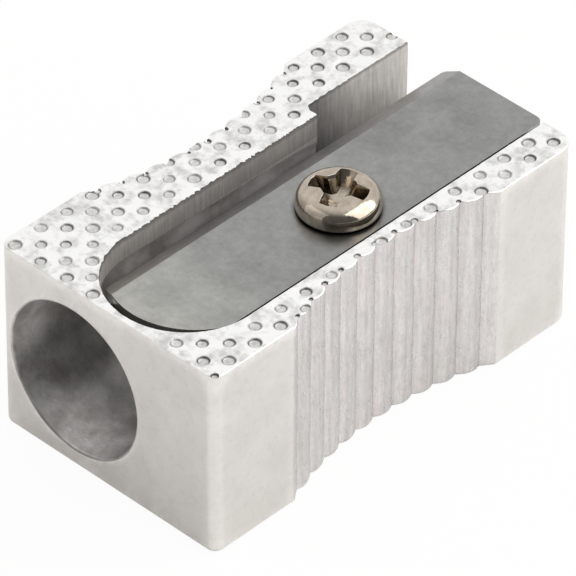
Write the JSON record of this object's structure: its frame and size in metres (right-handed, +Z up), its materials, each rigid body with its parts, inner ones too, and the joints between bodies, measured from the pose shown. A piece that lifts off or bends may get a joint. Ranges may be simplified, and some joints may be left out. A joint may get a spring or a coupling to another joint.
{
  "type": "pencil sharpener",
  "caption": "Hand-held wedge pencil sharpener: cast metal block with ribbed finger grips, a conical pencil bore and a flat steel blade clamped by a cross-recess screw.",
  "frame": {"origin": "middle of the block's bottom face, on the surface that it stands on", "axes": "+X to the right seen from the pencil hole's end, +Y from the pencil hole to the rear, +Z up"},
  "size_m": [0.0144, 0.0257, 0.0118],
  "materials": {
    "cast_metal": "bright as-cast light alloy",
    "blade_steel": "satin ground steel",
    "plated_steel": "polished nickel plate"
  },
  "bodies": {
    "body": {"body": "cast_metal"},
    "blade": {"blade": "blade_steel"},
    "screw": {"screw": "plated_steel"}
  },
  "joints": [
    {"name": "blade_lift", "type": "slide", "parent": "body", "child": "blade", "axis": [0, 0, 1], "range_m": [0, 0.0045]},
    {"name": "screw_turn", "type": "hinge", "parent": "blade", "child": "screw", "pos_m": [0.00195, 0.0013, 0.0104], "axis": [0, 0, 1], "range_deg": [0, 3605]}
  ],
  "couplings": [
    {"joint": "screw_turn", "follows": "blade_lift", "rad_per_m": 13963}
  ]
}
